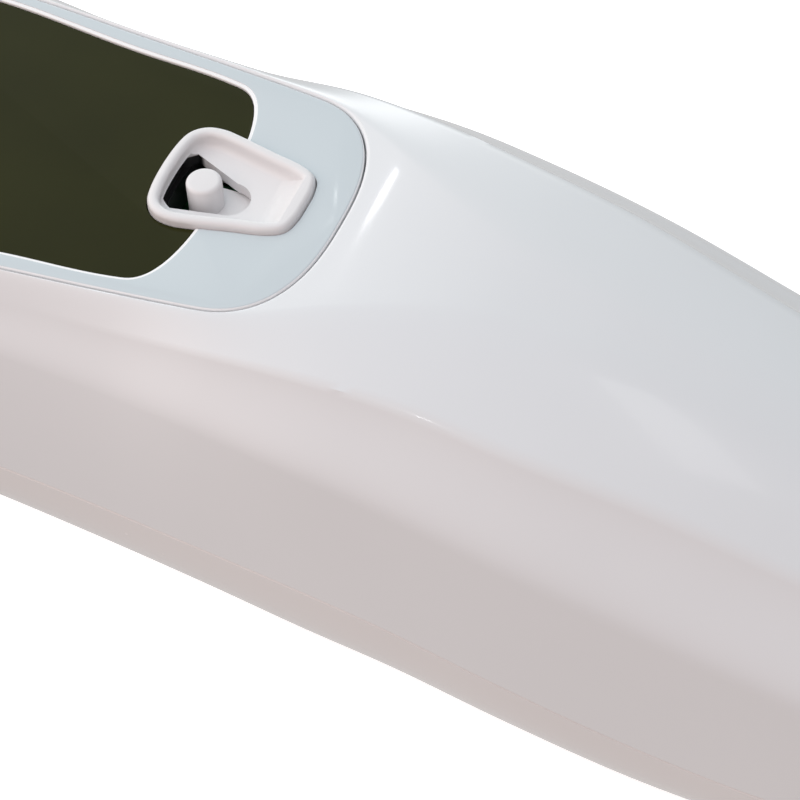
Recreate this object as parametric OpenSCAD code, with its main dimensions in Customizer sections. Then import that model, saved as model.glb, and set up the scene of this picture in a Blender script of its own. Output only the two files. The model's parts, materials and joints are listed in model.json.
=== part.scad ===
// Digital ear thermometer. Lengths in millimetres, +Z up, +X towards the tail of the handle,
// -Y the near side. It rests on the tail of the handle and on the tip of its probe, so z = 0
// is the surface that it rests on, and x = 0 is midway between the nose and the tail.

/* [Casing] */
// Wall thickness of both casing shells
wall = 2; // [1.8:0.1:2.2]
// Diameter of the bosses that take the casing screws
boss_d = 5.6; // [5.2:0.1:6]

/* [Top face] */
// Thickness of the faceplate and of the display window in it
plate_t = 1.4; // [1.2:0.1:1.6]
// Height of the rim of the switch well over the faceplate
rim_h = 0.55; // [0.45:0.05:0.7]
// Width of that rim
rim_w = 0.95; // [0.9:0.05:1.05]

/* [Switch and buttons] */
// Diameter of the round post of the power slider
post_d = 2.8; // [2.6:0.1:2.8]
// Travel of the power slider
slider_travel = 2; // [1:0.5:2]
// Diameter of the scan button
scan_d = 14; // [12:0.5:15]
// Travel of the scan and memory buttons
button_travel = 0.8; // [0.4:0.1:1]

/* [Probe] */
// Lean of the probe away from the handle, from the vertical
probe_lean = 25; // [20:1:28]
// Diameter of the cylindrical seat that the disposable covers fit
seat_d = 12.4; // [12:0.1:12.8]
// Travel of the ring that pushes a cover off
eject_travel = 2.5; // [1.5:0.5:2.5]

/* [Battery bay] */
// Slope of the battery bay
bay_slope = 11; // [10:0.5:12]
// Diameter of one AAA cell
cell_d = 10.2; // [9.8:0.1:10.5]
// Pitch between the two cells
cell_pitch = 10.8; // [10.8:0.1:11]

/* [Hidden] */

$fn = 48;
gap = 0.3;      // free space round a part that moves
fit = 0.05;     // radial play of a running fit
tiny = 0.01;

// Cross-sections of the casing. Each row is one station:
// x, height of the top, half-width of its flat, then height and half-width of the soft
// crease, of the shoulder and of the parting line, and the height of the bottom.
stations = [
    [-76.5, 40.0, 11.5, 38.3, 14.7, 35.0, 17.8, 28.4, 18.8, 19.5],
    [-60,   40.8, 12.8, 39.1, 15.5, 35.9, 18.0, 27.6, 19.0, 19.6],
    [-40,   41.0, 14.0, 39.7, 15.9, 36.4, 17.9, 26.4, 18.8, 18.4],
    [-20,   41.0, 14.1, 39.7, 15.8, 36.3, 17.6, 25.0, 18.6, 15.8],
    [-7,    41.0, 13.1, 39.0, 14.6, 35.3, 16.9, 23.8, 18.6, 13.4],
    [2,     41.0, 12.4, 39.0, 14.4, 34.6, 17.1, 22.8, 18.8, 11.7],
    [10,    41.0, 11.2, 39.5, 14.4, 34.4, 17.9, 21.8, 19.1, 10.2],
    [17,    41.0, 7.8, 39.2, 13.9, 33.6, 18.4, 20.8, 19.3, 8.5],
    [25,    40.2, 4.0, 38.0, 13.2, 31.9, 18.5, 19.2, 19.4, 7.1],
    [34,    38.2, 2.0, 35.7, 12.8, 29.2, 18.5, 16.4, 19.3, 4.6],
    [45,    34.8, 1.0, 32.3, 11.6, 25.4, 17.9, 12.6, 18.6, 1.6],
    [56,    30.8, 0.5, 28.3, 10.7, 21.5, 17.1, 9.8, 17.7, 0.4],
    [66,    26.9, 0.0, 24.5, 9.9, 18.1, 16.1, 8.8, 16.6, 0.1],
    [76.5,  22.9,  0.0, 20.1,  8.8, 14.9, 14.6,  8.6, 15.6,  0.1]];
nose_x = -76.5;
tail_x = 76.5;
nose_round = 16;    // length over which the nose is rounded off
tail_round = 15;
nose_z = 28.4;      // height of the foremost point
tail_z = 8.6;       // height of the rearmost point
round_power = 2.3;
belly_power = 2.8;  // squareness of the belly
crease_k = 0.34;    // how far a narrow top eases into the soft crease, and how much less
crease_flat = 0.2;  // a wide flat does
band_steep = 1.1;   // how much steeper than its mean slope the band starts under the crease
band_turn = 0.3;    // how far above the shoulder the band turns into the side

top_z = 41;                         // upper face of the faceplate
plate_z = top_z - plate_t;
deck_t = 1.4;
deck_z = plate_z - deck_t;          // underside of the deck below the faceplate
board_t = 1.6;
board_z = 32.4;                     // underside of the main board
board_top = board_z + board_t;

// Half-width of the faceplate, of the window and of the rim of the switch well, along X
plate_run = [[-62, 12], [-50, 13], [-34, 13.8], [-20, 13.9], [-8, 12.95],
             [0, 12.3], [8, 11.5], [14.6, 10.6]];
window_run = [[-33.4, 12.6], [-20, 12.7], [-8, 11.4], [0, 10.8], [4.6, 10]];
rim_side = [[-0.55, 0], [-0.4, 2.4], [0.05, 3.9], [1.1, 4.8], [2.5, 5.05], [4.2, 4.8],
            [7.2, 4.15], [9.6, 3.65], [11, 2.9], [11.45, 1.5], [11.5, 0]];

rim_y = 0.6;                        // the rim stands this much towards +Y
window_z = top_z - 0.25;            // top of the display window, below the faceplate's lip

post_x = 3.3;
post_top = top_z + 0.6;
well_floor = 40.2;
floor_under = well_floor - 1;
well_under = 36.2;
ramp_top = 41.7;
ramp = [[8.4, well_floor], [9.2, 40.45], [9.9, 40.9], [10.6, ramp_top]];
slot_left = [[1.4, -2.4], [0.1, -1.6], [0, 0.8], [0.05, 2.6], [1.1, 3.5]];

scan_x = -50;
memory_x = -38;
memory_w = 4;
memory_l = 8.4;
flange_z = deck_z - 0.8;            // underside of a button's flange
flange_top = deck_z - 0.1;
button_top = top_z + button_travel;  // a pressed button is flush with the faceplate

lcd_x0 = -31;
lcd_x1 = -2.2;
lcd_w = 19.6;

// Probe frame: origin on the probe's axis at the head's underside, local -Z towards the tip
probe_l = 20.5;
tip_r = 3.6;
tip_round = 0.8;
probe_x = -49;
probe_z = cos(probe_lean) * (probe_l - tip_round) + sin(probe_lean) * (tip_r - tip_round)
          + tip_round;
neck_r = 10.5;
guide_r = 6.8;
barrel_r = 5.8;
seat_z = -10.4;
seat_l = 3.5;
ring_z = seat_z + eject_travel + 0.2;   // lower face of the ejector ring at rest
ring_t = 2;

// Battery frame: origin on the centre line of the cells at the front wall of the tray
bay_x = 19;
bay_z = 16.9;
bay_l = 49.3;
bay_half = 11.7;
bay_wall = 0.9;
tray_low = -2.8;        // lower edge of the tray's walls
cell_l = 43.7;
nub_l = 0.8;
door_x0 = 1.2;
door_x1 = 55;
door_half = 11;
door_screw_x = 51.3;
door_seat_z = -4.5;     // seat of the door screw's head

// Casing screws: x, y, height of the head's seat, height where the two bosses meet, and
// height of the upper boss's root
shell_screw_at = [[-67.4, 0, 23, 29, 37.6], [-38, 11.9, 22.6, 27.4, 38.4],
                  [-38, -11.9, 22.6, 27.4, 38.4], [14.5, 11.7, 14.2, 22, 36.8],
                  [14.5, -11.7, 14.2, 22, 36.8]];
board_screw_at = [[-60.5, 0], [-34, 7.2], [-34, -7.2], [15.6, 6.2], [15.6, -6.2]];

// ---- curves -------------------------------------------------------------------------

function last_below(rows, x, i = 0) =
    i + 2 >= len(rows) || rows[i + 1][0] > x ? i : last_below(rows, x, i + 1);
function step(rows, k, i) = (rows[i + 1][k] - rows[i][k]) / (rows[i + 1][0] - rows[i][0]);
function slope(rows, k, i) =
    i == 0 ? step(rows, k, 0) :
    i == len(rows) - 1 ? step(rows, k, i - 1) :
    let (a = rows[i][0] - rows[i - 1][0], b = rows[i + 1][0] - rows[i][0])
    (step(rows, k, i - 1) * b + step(rows, k, i) * a) / (a + b);
// Smooth value of column k of a table of rows, at x
function smooth_at(rows, k, x) =
    let (i = last_below(rows, x),
         h = rows[i + 1][0] - rows[i][0],
         t = (x - rows[i][0]) / h,
         m0 = slope(rows, k, i) * h,
         m1 = slope(rows, k, i + 1) * h)
    (2*t*t*t - 3*t*t + 1) * rows[i][k] + (t*t*t - 2*t*t + t) * m0
    + (3*t*t - 2*t*t*t) * rows[i + 1][k] + (t*t*t - t*t) * m1;
// Shrink factor of a rounded end of length l, at distance d inside the end
function end_round(d, l, p) = d >= l ? 1 : pow(max(0, 1 - pow(1 - d / l, p)), 1 / p);
// Closed outline, symmetric about X, of a half-width table whose ends are rounded
function run_outline(run, l0, l1, p, grow) =
    let (x0 = run[0][0], x1 = run[len(run) - 1][0], n = 30,
         half = [for (i = [0:n])
                 let (x = (x0 + x1) / 2 - (x1 - x0) / 2 * cos(180 * i / n),
                      e = end_round(x - x0, l0, p) * end_round(x1 - x, l1, p))
                 [x, smooth_at(run, 1, x) * e]])
    grow_outline(concat(half, [for (i = [n - 1:-1:1]) [half[i][0], -half[i][1]]]), grow);
// A closed outline moved outwards by g
function grow_outline(pts, g) =
    [for (i = [0:len(pts) - 1])
     let (a = pts[(i + len(pts) - 1) % len(pts)], b = pts[(i + 1) % len(pts)],
          d = b - a, n = [-d[1], d[0]] / norm(d))
     pts[i] + g * n];
function half_closed(side) =
    concat(side, [for (i = [len(side) - 2:-1:1]) [side[i][0], -side[i][1]]]);
// Closed curve through the points, with n steps between neighbours
function through(pts, n) =
    let (c = len(pts))
    [for (i = [0:c - 1], s = [0:n - 1])
     let (t = s / n, a = pts[(i + c - 1) % c], b = pts[i], d = pts[(i + 1) % c],
          e = pts[(i + 2) % c])
     (2*b + (d - a)*t + (2*a - 5*b + 4*d - e)*t*t + (3*b - a - 3*d + e)*t*t*t) / 2];
function rim_outline(grow) =
    [for (p = grow_outline(through(half_closed(rim_side), 3), grow)) p + [0, rim_y]];
function plate_outline(grow) = run_outline(plate_run, 12, 7, 2.6, grow);
function window_outline(grow) = run_outline(window_run, 3.5, 3.4, 2.6, grow);

// ---- casing surface -----------------------------------------------------------------

// Section values at x: the casing's own, or those of the cavity where t is the wall
function section_at(x, t) =
    let (v = [for (k = [1:9]) smooth_at(stations, k, x)])
    [v[0] - t, max(0, v[1] - 0.2*t), v[2] - 0.85*t, v[3] - 0.6*t, v[4] - 0.5*t, v[5] - 0.9*t,
     v[6], v[7] - t, v[8] + t];
// The same section drawn in towards the nose or the tail point by the factor e
function drawn_in(v, e, z) = [for (k = [0:8]) k % 2 == 0 ? z + (v[k] - z) * e : v[k] * e];
function ring_x(i, n) =
    let (t = i / n)
    t < 0.22 ? nose_x + nose_round * (1 - cos(90 * t / 0.22)) :
    t > 0.78 ? tail_x - tail_round * (1 - cos(90 * (1 - t) / 0.22)) :
    nose_x + nose_round + (tail_x - tail_round - nose_x - nose_round) * (t - 0.22) / 0.56;
function ring_values(i, n, t) =
    let (x = ring_x(i, n),
         en = end_round(x - nose_x, nose_round, round_power),
         et = end_round(tail_x - x, tail_round, round_power),
         xs = x * (tail_x - t) / tail_x)
    [xs, drawn_in(section_at(xs, t), en * et, en < 1 ? nose_z : tail_z)];

function mix(a, b, t) = a + (b - a) * t;
// Half of the upper section, from the parting line to the middle of the top, as [y, z]
function upper_half(v) =
    let (h = v[2] - v[4],
         m = [v[5], v[4]], c = [v[3], v[2]],
         m1 = m + band_turn * h * [2 * (v[5] - v[7]) / (v[4] - v[6]), 1],
         ease = crease_k - crease_flat * v[1] / max(v[3], tiny),
         c1 = c + 0.38 * [v[5] - v[3], -band_steep * h],
         f = [v[1], v[0]], q = [mix(v[1], v[3], ease), v[0]])
    concat([for (s = [0:1]) let (t = s / 2) [mix(v[7], v[5], t*t), mix(v[6], v[4], t)]],
           [for (s = [0:3]) let (t = s / 4, u = 1 - t)
            u*u*u*m + 3*u*u*t*m1 + 3*u*t*t*c1 + t*t*t*c],
           [for (s = [0:2]) let (t = s / 3, u = 1 - t) u*u*c + 2*u*t*q + t*t*f],
           [f, f / 2 + [0, v[0] / 2]]);
// Half of the lower section, from the parting line to the middle of the belly
function lower_half(v) =
    [for (s = [0:7]) let (a = 90 * (1 - s / 8))
     [v[7] * pow(sin(a), 2 / belly_power), v[6] - (v[6] - v[8]) * pow(cos(a), 2 / belly_power)]];
// Whole open section over the top (side 1) or under the belly (side -1)
function open_section(v, side) =
    let (h = side > 0 ? upper_half(v) : lower_half(v), z = side > 0 ? v[0] : v[8])
    concat([for (p = h) [-side * p[0], p[1]]], [[0, z]],
           [for (i = [len(h) - 1:-1:0]) [side * h[i][0], h[i][1]]]);
// Faces of a sheet with n rings of m points on each skin; its four end points come last
function sheet_faces(n, m) =
    let (b = n * m, on = 2*b, ot = 2*b + 1, in = 2*b + 2, it = 2*b + 3)
    concat(
        [for (i = [0:n - 2], j = [0:m - 2]) let (a = i*m + j) each
         [[a, a + 1, a + m + 1], [a, a + m + 1, a + m],
          [b + a, b + a + m + 1, b + a + 1], [b + a, b + a + m, b + a + m + 1]]],
        [for (j = [0:m - 2]) let (a = (n - 1)*m + j) each
         [[on, j + 1, j], [in, b + j, b + j + 1],
          [a, a + 1, ot], [b + a, it, b + a + 1]]],
        [for (i = [0:n - 2]) let (a = i*m, c = a + m - 1) each
         [[a, a + m, b + a + m], [a, b + a + m, b + a],
          [c, b + c, b + c + m], [c, b + c + m, c + m]]],
        [[on, 0, b], [on, b, in], [on, in, b + m - 1], [on, b + m - 1, m - 1],
         [b - m, ot, it], [b - m, it, 2*b - m], [b - 1, 2*b - 1, it], [b - 1, it, ot]]);
module casing_sheet(side) {
    n = 36;
    outer = [for (i = [1:n - 1]) let (r = ring_values(i, n, 0))
             [for (p = open_section(r[1], side)) [r[0], p[0], p[1]]]];
    inner = [for (i = [1:n - 1]) let (r = ring_values(i, n, wall))
             [for (p = open_section(r[1], side)) [r[0], p[0], p[1]]]];
    polyhedron(concat([for (s = outer) each s], [for (s = inner) each s],
                      [[nose_x, 0, nose_z], [tail_x, 0, tail_z],
                       [nose_x + wall, 0, nose_z], [tail_x - wall, 0, tail_z]]),
               sheet_faces(n - 1, len(outer[0])), convexity = 6);
}

// ---- helpers ------------------------------------------------------------------------

module slab(z0, z1, pts) {
    translate([0, 0, z0]) linear_extrude(z1 - z0) polygon(pts);
}
module rod(x, y, z0, z1, r) {
    translate([x, y, z0]) cylinder(r = r, h = z1 - z0);
}
module block(x0, x1, y0, y1, z0, z1) {
    translate([x0, y0, z0]) cube([x1 - x0, y1 - y0, z1 - z0]);
}
// A strip of thickness t along points in the XZ plane, from y0 to y1
module strip(pts, t, y0, y1) {
    n = [for (i = [0:len(pts) - 1])
         let (a = pts[max(i - 1, 0)], b = pts[min(i + 1, len(pts) - 1)], d = b - a)
         [-d[1], d[0]] / norm(d) * t / 2];
    side = [for (i = [0:len(pts) - 1]) pts[i] + n[i]];
    back = [for (i = [len(pts) - 1:-1:0]) pts[i] - n[i]];
    translate([0, y1, 0]) rotate([90, 0, 0]) linear_extrude(y1 - y0) polygon(concat(side, back));
}
module in_probe() {
    translate([probe_x, 0, probe_z]) rotate([0, probe_lean, 0]) children();
}
module in_bay() {
    translate([bay_x, 0, bay_z]) rotate([0, bay_slope, 0]) children();
}
// A slot with round ends, its length along Y
module pill(x, l, w, z0, z1) {
    for (s = [-1, 1]) rod(x, s * (l - w) / 2, z0, z1, w / 2);
    block(x - w / 2, x + w / 2, -(l - w) / 2, (l - w) / 2, z0, z1);
}
// Pan-head screw with its point up and a cross recess in the head below
module screw(x, y, z_seat, z_tip, r, head_r, head_h) {
    difference() {
        union() {
            rod(x, y, z_seat - head_h, z_seat, head_r);
            rod(x, y, z_seat - tiny, z_tip, r);
        }
        for (a = [0, 90]) translate([x, y, z_seat - head_h]) rotate([0, 0, a])
            cube([head_r * 1.2, head_r * 0.3, head_h], center = true);
    }
}
// Conical contact spring, coiled along +X from a base at x0 to a small end at x1
module contact_spring(x0, x1, y) {
    turns = 3;
    wire = 0.22;
    n = 14 * turns;
    sides = 6;
    rings = [for (i = [0:n])
             let (t = i / n, r = mix(3.4, 1.8, t), a = 360 * turns * t,
                  c = [mix(x0 + wire, x1 - wire, t), r * cos(a), r * sin(a)],
                  u = [0, cos(a), sin(a)])
             [for (k = [0:sides - 1]) let (b = 360 * k / sides)
              c + wire * (cos(b) * u + sin(b) * [1, 0, 0]) + [0, y, 0]]];
    polyhedron([for (s = rings) each s],
               concat([[for (k = [sides - 1:-1:0]) k]],
                      [for (i = [0:n - 1], k = [0:sides - 1])
                       let (a = i*sides + k, b = i*sides + (k + 1) % sides) each
                       [[a, b + sides, a + sides], [a, b, b + sides]]],
                      [[for (k = [0:sides - 1]) n*sides + k]]), convexity = 8);
}

// ---- casing -------------------------------------------------------------------------

module upper_shell() color("whitesmoke") difference() {
    union() {
        casing_sheet(1);
        slab(deck_z, plate_z + 0.2, plate_outline(0.6));
        for (s = shell_screw_at)
            rod(s[0], s[1], s[3], s[4], boss_d / 2);
        for (s = board_screw_at) rod(s[0], s[1], board_top, deck_z + 1, 1.8);
    }
    slab(plate_z, top_z + 2, plate_outline(0.15));
    slab(deck_z - 1, plate_z + 1, rim_outline(0.15));
    block(lcd_x0 + 0.8, lcd_x1 - 0.8, -9, 9, deck_z - 1, plate_z + 1);
    rod(scan_x, 0, deck_z - 1, plate_z + 1, scan_d / 2 + gap);
    pill(memory_x, memory_l + 2*gap, memory_w + 2*gap, deck_z - 1, plate_z + 1);
    for (s = shell_screw_at) rod(s[0], s[1], s[3] - 1, s[3] + 6.5, 1 + fit);
    for (s = board_screw_at) rod(s[0], s[1], board_top - 1, board_top + 3.6, 0.7 + fit);
}

module door_prism(inset) {
    in_bay() translate([door_x0 + inset, 0, -20]) linear_extrude(18)
        polygon(run_outline([[0, door_half - inset], [door_x1 - door_x0 - 2*inset,
                             door_half - inset]], 4, 12, 3, 0));
}

module lower_shell() color("#f4efee") difference() {
    union() {
        casing_sheet(-1);
        for (s = shell_screw_at) rod(s[0], s[1], s[2] - 1.8, s[3], boss_d / 2 + 0.4);
        for (s = [-1, 1]) in_bay()
            block(5, 34, s > 0 ? bay_half : -bay_half - 1.4, s > 0 ? bay_half + 1.4 : -bay_half,
                  -6.4, 0);
    }
    for (s = shell_screw_at) {
        rod(s[0], s[1], 0, s[2], 2.5);
        rod(s[0], s[1], s[2] - 1, s[3] + 1, 1.3);
    }
    in_probe() rod(0, 0, -16, 7.5, neck_r + fit);
    door_prism(0);
}

module battery_door() color("#f1ebea") {
    difference() {
        union() {
            intersection() {
                casing_sheet(-1);
                door_prism(0.2);
            }
            in_bay() rod(door_screw_x, 0, door_seat_z - 0.7, door_seat_z + 1, 2.9);
        }
        in_bay() rod(door_screw_x, 0, -12, 0, 1);
        in_bay() rod(door_screw_x, 0, -12, door_seat_z, 2.1);
    }
}

module shell_screws() color("silver")
    for (s = shell_screw_at) screw(s[0], s[1], s[2], s[3] + 6, 1, 2.3, 1.5);

// ---- top face -----------------------------------------------------------------------

module faceplate() color("lightsteelblue") difference() {
    slab(plate_z, top_z, plate_outline(0));
    slab(plate_z - 1, top_z + 1, window_outline(0.05));
    slab(plate_z - 1, top_z + 1, rim_outline(0.1));
    rod(scan_x, 0, plate_z - 1, top_z + 1, scan_d / 2 + gap);
    pill(memory_x, memory_l + 2*gap, memory_w + 2*gap, plate_z - 1, top_z + 1);
}

module display_window() color("darkolivegreen") difference() {
    slab(plate_z, window_z, window_outline(0));
    slab(plate_z - 1, top_z + 1, rim_outline(0.1));
}

// Slot of the power slider: wide behind the post, round where its travel ends. Its wide end
// runs under the foot of the well's wall.
function slot_outline() =
    let (end = [post_x + slider_travel, 0], r = post_d / 2 + gap)
    concat(slot_left, [for (a = [90 : -7.5 : -90]) end + r * [cos(a), sin(a)]]);

module switch_well() color("white") difference() {
    union() {
        slab(well_under, top_z + rim_h, rim_outline(0));
        slab(deck_z - 0.7, deck_z, rim_outline(0.4));
    }
    difference() {
        slab(well_floor, top_z + rim_h + 1, rim_outline(-rim_w));
        translate([0, 6, 0]) rotate([90, 0, 0]) linear_extrude(12)
            polygon(concat(ramp, [[14, ramp_top], [14, 30], [ramp[0][0], 30]]));
    }
    slab(well_under - 1, floor_under, rim_outline(-rim_w));
    slab(floor_under - 0.2, well_floor + 0.3, slot_outline());
}

// The leaf under the well's floor closes the slot on the side that the post moves towards
module power_slider() color("white") difference() {
    union() {
        translate([post_x, 0, 0]) rotate_extrude()
            polygon([[0, 35.5], [post_d / 2, 35.5], [post_d / 2, post_top - 0.3],
                     [post_d / 2 - 0.1, post_top - 0.1], [post_d / 2 - 0.3, post_top],
                     [0, post_top]]);
        block(post_x - 1.5, post_x + 5.7, -2.5, 2.5, 35.5, 36);
        block(post_x, post_x + 4, -1.9, 1.9, floor_under - 0.5, floor_under - 0.2);
    }
    block(post_x - 0.55, post_x + 0.55, -0.35, 0.35, 35, 36.6);
}

module switch_actuator() color("dimgray")
    block(post_x - 0.55, post_x + 0.55, -0.35, 0.35, 34.6, 36.6);

module slide_switch() color("silver") difference() {
    block(post_x - 3, post_x + 5, -1.8, 1.8, board_top, 35.3);
    block(post_x - 0.75, post_x + slider_travel + 0.75, -0.5, 0.5, 34.4, 36);
}

module scan_button() color("lightsteelblue") translate([scan_x, 0, 0]) rotate_extrude()
    polygon([[0, flange_z], [scan_d / 2 + 1, flange_z], [scan_d / 2 + 1, flange_top],
             [scan_d / 2, flange_top], [scan_d / 2, button_top - 0.5],
             [scan_d / 2 - 0.2, button_top - 0.15], [scan_d / 2 - 0.7, button_top],
             [scan_d / 4, button_top - 0.3], [0, button_top - 0.4]]);

module memory_button() color("white") {
    pill(memory_x, memory_l, memory_w, flange_top - tiny, button_top);
    pill(memory_x, memory_l + 1.2, memory_w + 1.2, flange_z, flange_top);
}

module dome(x, r) {
    translate([x, 0, 0]) rotate_extrude()
        polygon([[0, flange_z - 1], [r - 2, flange_z - 1], [r - 0.8, board_top],
                 [r, board_top], [r, board_top + 0.5], [r - 0.6, board_top + 0.5],
                 [r - 1.6, flange_z], [0, flange_z]]);
}
module scan_dome() color("gray") dome(scan_x, 5);
module memory_dome() color("gray") dome(memory_x, 3.6);

// ---- display and board --------------------------------------------------------------

module lcd_panel() color("darkseagreen")
    block(lcd_x0, lcd_x1, -lcd_w / 2, lcd_w / 2, 36, 38);

module lcd_frame() color("gainsboro") difference() {
    block(lcd_x0 - 1, lcd_x1 + 1, -11, 11, board_top, deck_z);
    block(lcd_x0, lcd_x1, -lcd_w / 2, lcd_w / 2, 36, deck_z + 1);
    block(lcd_x0 + 1, lcd_x1 - 1, -8.8, 8.8, board_top - 1, 37);
}

module lcd_backlight() color("honeydew")
    block(lcd_x0 + 1.2, lcd_x1 - 1.2, -6, 8.6, board_top, 36);

module zebra_strip() color("hotpink")
    block(lcd_x0 + 1.2, lcd_x1 - 1.2, -8.6, -6.8, board_top, 36);

module main_board() color("seagreen") difference() {
    slab(board_z, board_top, board_edge());
    for (s = board_screw_at) rod(s[0], s[1], board_z - 1, board_top + 1, 0.85);
}
function board_edge() =
    [[-64, -5], [-58, -8.8], [-34, -8.8], [-32, -11.4], [2, -11.4], [5, -8.2], [19, -8.2],
     [19, 8.2], [5, 8.2], [2, 11.4], [-32, 11.4], [-34, 8.8], [-58, 8.8], [-64, 5]];

module microcontroller() color("black") {
    block(-29.5, -22.5, -3.5, 3.5, board_z - 1, board_z);
    for (k = [-2:2], s = [-1, 1]) {
        block(-26.2 + k * 1.2, -25.8 + k * 1.2, s > 0 ? 3.5 : -4.2, s > 0 ? 4.2 : -3.5,
              board_z - 0.3, board_z);
        block(s > 0 ? -22.5 : -30.2, s > 0 ? -21.8 : -29.5, k * 1.2 - 0.2, k * 1.2 + 0.2,
              board_z - 0.3, board_z);
    }
}

module board_components() color("tan") {
    for (p = [[-20, 6], [-17, 6], [-20, -7], [-17, -7], [-2, 6], [1, 6], [-2, -6], [1, -6]])
        block(p[0], p[0] + 1.6, p[1], p[1] + 0.8, board_z - 0.6, board_z);
    block(4, 8, -6.5, -4, board_z - 1.2, board_z);
    rod(6, 5, board_z - 3, board_z, 1.8);
    rod(-31, 8.4, board_z - 2.2, board_z, 1.5);
}

module buzzer() color("black") difference() {
    rod(-10, 0, board_z - 3, board_z, 5.5);
    rod(-10, 0, board_z - 4, board_z - 1, 0.8);
}

module board_screws() color("silver")
    for (s = board_screw_at) screw(s[0], s[1], board_z, board_top + 3.4, 0.7, 1.4, 1);

// ---- probe --------------------------------------------------------------------------

module nose_cone() color("whitesmoke") difference() {
    union() {
        in_probe() rotate_extrude()
            polygon([[0, 9], [neck_r, 9], [neck_r, -4.6], [neck_r - 0.3, -5.3],
                     [neck_r - 1, -5.6], [guide_r, -5.6], [guide_r, seat_z], [0, seat_z]]);
        rod(probe_x + 0.8, 0, 22.3, 23.7, 12.1);
    }
    in_probe() rod(0, 0, -12, 10, barrel_r);
    in_probe() rod(0, 0, -3.6, 14, neck_r - 1.7);
    block(probe_x - 30, probe_x + 30, -30, 30, 27, 40);
}

module probe_barrel() color("white") in_probe() rotate_extrude()
    polygon([[4.8, -4.5], [barrel_r, -4.5], [barrel_r, seat_z], [seat_d / 2, seat_z],
             [seat_d / 2, seat_z - seat_l], [5.6, -15.6], [4.9, -17.6], [4.4, -19.5],
             [2.9, -19.5], [3.6, -14.2], [4.8, -14.2]]);

module probe_tip_ring() color("silver") in_probe() rotate_extrude()
    polygon(concat([[2.7, -19.5], [4.1, -19.5]],
                   [for (s = [0:4]) let (a = 90 * s / 4)
                    [tip_r - tip_round + tip_round * cos(a),
                     -probe_l + tip_round - tip_round * sin(a)]],
                   [[2.1, -probe_l], [2.1, -20.2], [2.7, -20.2]]));

module probe_window() color("black") in_probe() rod(0, 0, -20.2, -19.85, 2.65);

module waveguide() color("gold") in_probe() rotate_extrude()
    polygon([[1.5, -19.75], [2, -19.75], [2, -14.2], [4.75, -14.2], [4.75, -13.8],
             [1.5, -13.8]]);

module sensor_holder() color("goldenrod") in_probe() rotate_extrude()
    polygon([[1.7, -8.5], [4.75, -8.5], [4.75, -13.8], [2.75, -13.8], [2.75, -10.8],
             [1.7, -10.8]]);

module thermopile_sensor() color("silver") in_probe() {
    rod(0, 0, -13.6, -10.8, 2.7);
    for (a = [45:90:315]) rod(1.1 * cos(a), 1.1 * sin(a), -10.8 - tiny, -8.2, 0.22);
}

module sensor_flex() color("orange")
    strip([[-52.4, 12.55], [-51.6, 14.3], [-49.6, 18.6], [-48.6, 21.4], [-48.2, 24.5],
           [-47.6, 28], [-46.6, 31], [-45, 32.1], [-42, 32.25]], 0.3, -2, 2);

module ejector_ring() color("lightgray") in_probe() {
    difference() {
        union() {
            rod(0, 0, ring_z, ring_z + ring_t, 9.8);
            block(7.5, 13.5, -3, 3, ring_z, ring_z + 1.6);
        }
        rod(0, 0, -9, -4, guide_r + fit);
    }
}

// ---- battery bay --------------------------------------------------------------------

module battery_tray() color("dimgray") in_bay() difference() {
    union() {
        block(0, bay_l, -bay_half, bay_half, tray_low, 6.6);
        block(bay_l - tiny, door_screw_x + 1.7, -2.4, 2.4, door_seat_z + 1.6, 0.4);
    }
    block(bay_wall, bay_l - bay_wall, -bay_half + bay_wall, bay_half - bay_wall, -8, 5.6);
    for (s = [-1, 1]) block(bay_wall - tiny, bay_wall + 0.5, s > 0 ? 0.8 : -3.8,
                            s > 0 ? 3.8 : -0.8, 5, 7);
    rod(door_screw_x, 0, -6, -0.4, 0.9 + fit);
}

// One cell, its flat end at x0 and its button end towards +X (dir 1) or -X (dir -1)
module cell(y, x0, dir) {
    translate([x0, y, 0]) rotate([0, dir * 90, 0]) {
        cylinder(r = cell_d / 2, h = cell_l);
        cylinder(r = 1.9, h = cell_l + nub_l);
    }
}
module battery_1() color("darkorange") in_bay() cell(-cell_pitch / 2, 3.2, 1);
module battery_2() color("darkorange") in_bay() cell(cell_pitch / 2, bay_l - 3.2, -1);

// Contact plate on the front wall, with its tail up to the main board
module front_contact(side) {
    in_bay() block(bay_wall, bay_wall + 0.4, side > 0 ? 1.2 : -9.5, side > 0 ? 9.5 : -1.2,
                   tray_low, 4);
    strip([bay_point(bay_wall + 0.2, 1), bay_point(bay_wall + 0.2, 7), [21.4, 28], [21, 30.6],
           [20, 31.9], [18.4, 32.2], [14, 32.2]], 0.4,
          side > 0 ? 1.2 : -3.4, side > 0 ? 3.4 : -1.2);
}
function bay_point(x, z) =
    [bay_x + x * cos(bay_slope) + z * sin(bay_slope),
     bay_z - x * sin(bay_slope) + z * cos(bay_slope)];
module positive_contact() color("gold") {
    front_contact(1);
    in_bay() translate([bay_wall, cell_pitch / 2, 0]) rotate([0, 90, 0])
        cylinder(r = 1.6, h = 0.7);
}
module negative_contact() color("gold") {
    front_contact(-1);
    in_bay() contact_spring(1.2, 3.2, -cell_pitch / 2);
}
module bridge_contact() color("gold") in_bay() {
    block(bay_l - bay_wall - 0.4, bay_l - bay_wall, -9.5, 9.5, tray_low, 4);
    translate([bay_l - bay_wall - 0.7, -cell_pitch / 2, 0]) rotate([0, 90, 0])
        cylinder(r = 1.6, h = 0.7);
    translate([bay_l, 0, 0]) mirror([1, 0, 0]) contact_spring(1.2, 3.2, cell_pitch / 2);
}

module battery_door_screw() color("silver") in_bay()
    screw(door_screw_x, 0, door_seat_z, -0.8, 0.9, 1.9, 0.9);

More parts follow.
